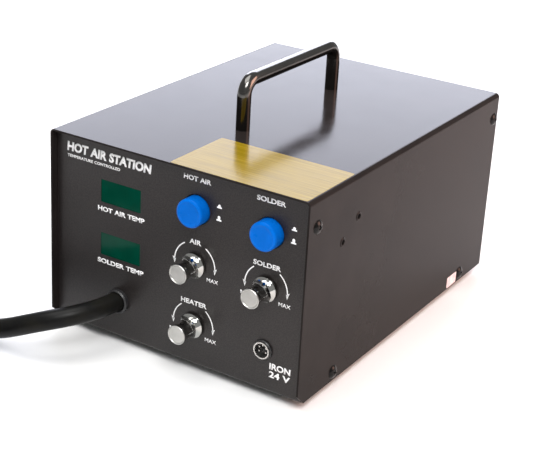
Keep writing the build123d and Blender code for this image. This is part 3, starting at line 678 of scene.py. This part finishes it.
def top_label():
    """The glossy yellow label on the top, blank here, with fine streaks along it."""
    paint = Material("label_film", (0.40, 0.27, 0.01), 0.16)
    paint.set(Specular_IOR_Level=0.05)
    streaks = paint.noise(0.9, 3, stretch=(40, 1, 1))
    dark, plain, pale = (0.16, 0.11, 0.002), (0.23, 0.155, 0.004), (0.30, 0.23, 0.03)
    paint.colour(streaks, (0.35, dark), (0.55, plain), (0.8, pale))
    paint.gloss(streaks, 0.12, 0.24)
    paint.bump(streaks, 0.01)
    mesh = film(LABEL_X, LABEL_Y, LABEL_RISE)
    mesh.transform(Matrix.Translation((0, 0, COVER_HIGH.z)))
    mesh_piece("top_label", mesh, paint)


def seal():
    """The small paper seal across the cover's lower edge on the right wall."""
    paint = Material("seal_paper", (0.80, 0.66, 0.66), 0.5)
    paint.colour(paint.noise(2.5, 4), (0.4, (0.84, 0.78, 0.78)), (0.6, (0.74, 0.55, 0.56)))
    paint.bump(paint.noise(0.5), 0.01)
    across, up = (0, SEAL_Y[1] - SEAL_Y[0]), (0, SEAL_Z[1] - SEAL_Z[0])
    mesh = film(across, up, SEAL_RISE, corner=0.4, cells=18)
    mesh.transform(on_side(1, SEAL_Y[0], SEAL_Z[0]))
    mesh_piece("seal_sticker", mesh, paint)


def ring(form, radius, height, segments):
    """A ring of new vertices about Z in a mesh being edited."""
    turns = [2 * math.pi * k / segments for k in range(segments)]
    return [form.verts.new((radius * math.cos(a), radius * math.sin(a), height)) for a in turns]


def lathed(profile, segments=64, sharp=35):
    """A turned mesh about Z from (radius, height) points, with edges over sharp degrees kept sharp.

    It is closed where its profile ends at radius 0 or comes back to its start.
    """
    form = bmesh.new()
    rings = []
    for radius, height in profile:
        pole = [form.verts.new((0, 0, height))] if radius == 0 else None
        rings.append(pole or ring(form, radius, height, segments))
    for low, high in zip(rings, rings[1:]):
        for k in range(segments):
            below = [low[k % len(low)], low[(k + 1) % len(low)]]
            above = [high[(k + 1) % len(high)], high[k % len(high)]]
            corners = list(dict.fromkeys(below + above))
            if len(corners) > 2:
                form.faces.new(corners)
    bmesh.ops.remove_doubles(form, verts=form.verts, dist=1e-5)
    bmesh.ops.recalc_face_normals(form, faces=form.faces)
    for face in form.faces:
        face.smooth = True
    mesh = bpy.data.meshes.new("lathed")
    form.to_mesh(mesh)
    form.free()
    mesh.set_sharp_from_angle(angle=math.radians(sharp))
    return mesh


def screw_head(radius, height, arm=0.42, groove=0.1):
    """A domed head with a cross recess: its arms' reach and half width are shares of the radius."""
    count, segments = 22, 72
    recess, middle, curve, rim = 0.6, 0.35, 0.92, 0.39
    end_slope, side_slope, side_start = 0.14, 0.03, 0.3
    under_size, under_depth = 0.94, 0.02
    form = bmesh.new()
    rows = [[form.verts.new((0, 0, height * middle))]]
    for step in range(1, count + 1):
        share = step / count
        row = []
        for k in range(segments):
            angle = 2 * math.pi * k / segments
            x, y = share * math.cos(angle), share * math.sin(angle)
            dome = math.sqrt(max(0.0, 1 - (curve * share) ** 2))
            dome = height * (dome - rim) / (1 - rim) if share < 1 else 0
            across, run = sorted((abs(x), abs(y)))
            if across < groove and run < arm:
                end = min(1, (arm - run) / end_slope)
                side = min(1, (groove - across) / side_slope + side_start)
                dome = dome - height * recess * (end * side)
            row.append(form.verts.new((radius * x, radius * y, max(dome, 0))))
        rows.append(row)
    edge = [under_size * v.co for v in rows[-1]]
    rows.append([form.verts.new((co.x, co.y, -under_depth)) for co in edge])
    for inner, outer in zip(rows, rows[1:]):
        for k in range(segments):
            near = [outer[k], outer[(k + 1) % segments]]
            far = [inner[0]] if len(inner) == 1 else [inner[(k + 1) % segments], inner[k]]
            form.faces.new(near + far)
    form.faces.new(rows[-1])
    bmesh.ops.recalc_face_normals(form, faces=form.faces)
    for face in form.faces:
        face.smooth = True
    mesh = bpy.data.meshes.new("screw_head")
    form.to_mesh(mesh)
    form.free()
    mesh.set_sharp_from_angle(angle=math.radians(50))
    return mesh


def shank(radius, length, pitch=0.7):
    """A threaded shank below its head, with the thread as fine rings."""
    root, point = 0.82 * radius, 0.75 * radius
    profile = [(0, 0), (radius, 0)]
    for k in range(int(length / pitch) - 1):
        profile += [(radius, -pitch * (k + 0.3)), (root, -pitch * (k + 0.65))]
        profile.append((radius, -pitch * (k + 1)))
    profile += [(point, -length), (0, -length)]
    return lathed(profile, 24)


def screw_places(node, head):
    """Centres of a node's side wall screws, from the corners of its mesh under their heads."""
    found = []
    for vertex in NODES[node].data.vertices:
        x, y, z = vertex.co / MM
        if abs(abs(x) - COVER_HIGH.x) > 0.01:
            continue
        side = 1 if x > 0 else -1
        for place in found:
            if place[0] == side and math.hypot(place[1] - y, place[2] - z) < 2.5 * head:
                place[3].append((y, z))
                break
        else:
            found.append([side, y, z, [(y, z)]])
    places = []
    for side, _, _, points in found:
        low_y, high_y = min(p[0] for p in points), max(p[0] for p in points)
        low_z, high_z = min(p[1] for p in points), max(p[1] for p in points)
        places.append((side, (low_y + high_y) / 2, (low_z + high_z) / 2))
    return places


def cover_screws():
    """Black domed screws in the cover's side walls."""
    shapes = []
    radius, height = SCREW_HEAD
    for k, (side, y, z) in enumerate(screw_places("cover_screws", radius)):
        turn = Matrix.Rotation(math.radians(SCREW_TURN_START + SCREW_TURN_STEP * k), 4, "Z")
        for shape in (screw_head(radius, height), shank(*SCREW_SHANK)):
            shape.transform(on_side(side, y, z) @ turn)
            shapes.append(shape)
    mesh = joined("cover_screws", shapes)
    black = MATERIALS["black_screw"]
    mesh_piece("domed_cover_screws", mesh, black, stands_for=["cover_screws"])


def holder_rings():
    """The raised rims of the two tapped holes for a handpiece holder."""
    shapes = []
    for mount in frame["record"]["mounts"]:
        if not mount["name"].startswith("holder_hole"):
            continue
        x, y, z = [value / MM for value in mount["pos_m"]]
        shape = lathed(HOLE_RIM, 40, sharp=60)
        shape.transform(on_side(1, y, z))
        shapes.append(shape)
    mesh_piece("holder_hole_rims", joined("rims", shapes), MATERIALS["cover_paint"])


def grub_screws():
    """The set screw in each knob's hole, with its hexagon socket."""
    black = MATERIALS["black_screw"]
    for name in KNOBS:
        place = centre(f"{name}_knob")
        mesh = lathed(GRUB_OUTSIDE + GRUB_SOCKET, 36)
        for vertex in mesh.vertices:
            if 0 < math.hypot(vertex.co.x, vertex.co.y) < 1:
                from_flat = math.atan2(vertex.co.y, vertex.co.x) % (math.pi / 3) - math.pi / 6
                vertex.co.xy *= math.cos(math.pi / 6) / math.cos(from_flat)
        mesh.set_sharp_from_angle(angle=math.radians(35))
        forward, up = GRUB_SCREW
        mesh.transform(Matrix.Translation((place.x, PANEL - forward, place.z + up)))
        mesh_piece(f"{name}_grub_screw", mesh, black, f"{name}_dial")


def diaphragm():
    """The pump's rubber diaphragm, turned from its middle, roll and rim and set on the box in the
    CAD diaphragm's place.
    """
    mesh = lathed(DIAPHRAGM_MIDDLE + DIAPHRAGM_ROLL + DIAPHRAGM_RIM, 72)
    low, high = span("pump_diaphragm")
    middle = (low + high) / 2
    onto_box = Matrix.Rotation(math.radians(90), 4, "Y")
    mesh.transform(Matrix.Translation((low.x, middle.y, middle.z)) @ onto_box)
    mesh.transform(Matrix.Scale(MM, 4))
    mesh.materials.append(MATERIALS["black_rubber"].made)
    made = bpy.data.objects.new("rolling_diaphragm", mesh)
    bpy.context.scene.collection.objects.link(made)
    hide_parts("pump_diaphragm")
    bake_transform(made)


panel_print()
top_label()
seal()
cover_screws()
holder_rings()
grub_screws()
diaphragm()

# Stage -------------------------------------------------------------------------------------------


def floor():
    """A plain pale floor."""
    mesh = bpy.data.meshes.new("floor")
    reach = 6.0
    corners = [(-reach, -reach, 0), (reach, -reach, 0), (reach, reach, 0), (-reach, reach, 0)]
    mesh.from_pydata(corners, [], [(0, 1, 2, 3)])
    made = bpy.data.objects.new("floor", mesh)
    bpy.context.scene.collection.objects.link(made)
    paint = Material("floor_paper", grey(0.86), 0.9)
    paint.colour(paint.noise(300), (0.3, grey(0.85)), (0.7, grey(0.87)))
    mesh.materials.append(paint.made)


def softbox(name, place, towards, size, radiance, colour=(1, 1, 1)):
    """A soft rectangular light of a given brightness, with its place, target and size in metres."""
    data = bpy.data.lights.new(name, "AREA")
    data.shape = "RECTANGLE"
    data.size, data.size_y = size
    data.energy = radiance * size[0] * size[1] * math.pi
    data.color = colour
    made = bpy.data.objects.new(name, data)
    made.location = place
    made.rotation_euler = (Vector(towards) - Vector(place)).to_track_quat("-Z", "Y").to_euler()
    bpy.context.scene.collection.objects.link(made)


def world(strength):
    """An even white surrounding of a strength."""
    made = bpy.data.worlds.new("studio")
    made.use_nodes = True
    made.node_tree.nodes["Background"].inputs["Color"].default_value = (1, 1, 1, 1)
    made.node_tree.nodes["Background"].inputs["Strength"].default_value = strength
    bpy.context.scene.world = made


def light():
    """A pale room with a cool box behind, one overhead, a key in front and a warm one at right."""
    world(0.4)
    softbox("back_box", (-0.95, 1.55, 0.98), (0, 0, 0.1), (1.6, 1.1), 6.6, (0.92, 0.95, 1.10))
    softbox("top_box", (-0.2, -0.3, 1.6), (-0.1, -0.2, 0), (1.1, 1.1), 4.5, (1.0, 0.99, 0.97))
    softbox("key_box", (0.75, -0.95, 1.45), (0, 0, 0.05), (0.8, 0.8), 12.0)
    softbox("warm_box", (0.85, 0.42, 0.42), (0.17, 0.27, 0), (0.6, 0.6), 6.5, (1.0, 0.58, 0.46))


floor()
light()
bpy.context.scene.view_settings.view_transform = "Standard"

# End ---------------------------------------------------------------------------------------------

bpy.context.view_layer.update()
